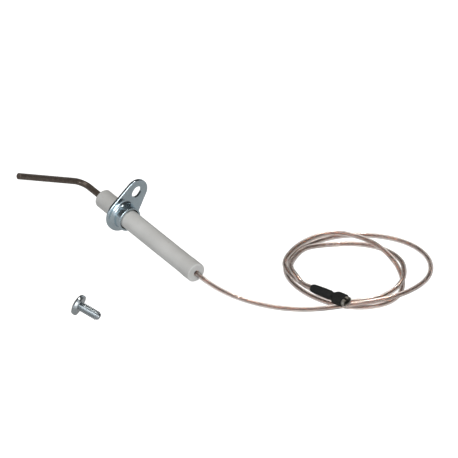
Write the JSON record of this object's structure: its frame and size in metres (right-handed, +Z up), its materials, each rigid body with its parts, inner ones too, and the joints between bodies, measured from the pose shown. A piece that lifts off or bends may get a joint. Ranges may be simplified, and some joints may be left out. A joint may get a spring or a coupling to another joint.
{
  "type": "flame sensor probe",
  "caption": "Bent electrode rod in a ceramic tube with a slotted fixing flange, a flexible coiled lead with a sleeved push-on receptacle, and a loose fixing screw.",
  "frame": {"origin": "on the ceramic tube's axis, at the flange's seating face", "axes": "+X along the tube towards the lead, +Z up from the table the parts lie on"},
  "size_m": [0.1458, 0.1507, 0.026],
  "materials": {
    "heat_resistant_steel": "dark oxidised",
    "alumina": "matt fired",
    "zinc_plate": "bright zinc plated",
    "cement": "rough",
    "tinned_brass": "dull tin plated",
    "clear_sheath": "clear, smooth",
    "copper": "stranded",
    "black_sleeve": "shrunk, matt",
    "zinc_screw": "bright zinc plated"
  },
  "bodies": {
    "probe": {"sensing_rod": "heat_resistant_steel", "ceramic_insulator": "alumina", "mounting_flange": "zinc_plate", "collar_cement": "cement", "nose_cement": "cement", "rear_cement": "cement", "splice_ferrule": "tinned_brass", "lead_sheath_root": "clear_sheath", "lead_core_root": "copper"},
    "lead_neck": {"lead_sheath_neck": "clear_sheath", "lead_core_neck": "copper"},
    "lead": {"lead_sheath_run": "clear_sheath", "lead_core_run": "copper"},
    "terminal": {"lead_sheath_tail": "clear_sheath", "lead_core_tail": "copper", "receptacle_terminal": "tinned_brass", "terminal_sleeve": "black_sleeve"},
    "screw": {"fixing_screw": "zinc_screw"}
  },
  "joints": [
    {"name": "lead_yaw", "type": "hinge", "parent": "probe", "child": "lead_neck", "pos_m": [0.0568, 0, 0], "axis": [0, 0, 1], "range_deg": [-45, 45]},
    {"name": "lead_lift", "type": "hinge", "parent": "lead_neck", "child": "lead", "pos_m": [0.0592, 0, 0], "axis": [0, -1, 0], "range_deg": [-25, 45]},
    {"name": "terminal_tilt", "type": "hinge", "parent": "lead", "child": "terminal", "pos_m": [0.08814, 0.03588, -0.00332], "axis": [0.2284, -0.9736, 0], "range_deg": [0, 75]},
    {"name": "screw_lift", "type": "slide", "parent": "probe", "child": "screw", "axis": [0, 0, 1], "range_m": [0, 0.03]}
  ]
}
